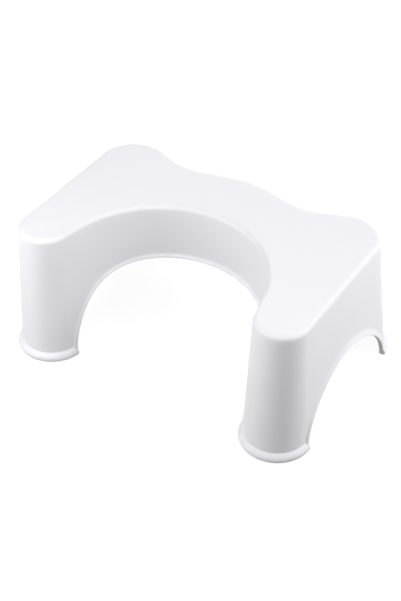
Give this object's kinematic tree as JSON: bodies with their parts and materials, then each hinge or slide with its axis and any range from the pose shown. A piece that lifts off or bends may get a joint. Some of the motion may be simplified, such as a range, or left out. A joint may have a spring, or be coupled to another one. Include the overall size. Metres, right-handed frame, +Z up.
{
  "type": "toilet footstool",
  "caption": "Low moulded footstool with a butterfly-shaped deck whose round front recess fits round a toilet's foot, on flared arched legs with soft pads.",
  "frame": {"origin": "on the floor, below the middle of the stool's bounding box", "axes": "+X to the right along the longest side, +Y to the back, away from the toilet, +Z up; the round recess faces -Y"},
  "size_m": [0.4154, 0.29, 0.18],
  "materials": {
    "white_polypropylene": "satin",
    "grey_elastomer": "matte"
  },
  "bodies": {
    "root": {"stool_shell": "white_polypropylene", "foot_pad_front_inner_right": "grey_elastomer", "foot_pad_front_inner_left": "grey_elastomer", "foot_pad_front_outer_right": "grey_elastomer", "foot_pad_front_outer_left": "grey_elastomer", "foot_pad_back_outer_right": "grey_elastomer", "foot_pad_back_outer_left": "grey_elastomer", "foot_pad_back_inner_right": "grey_elastomer", "foot_pad_back_inner_left": "grey_elastomer"}
  },
  "joints": []
}
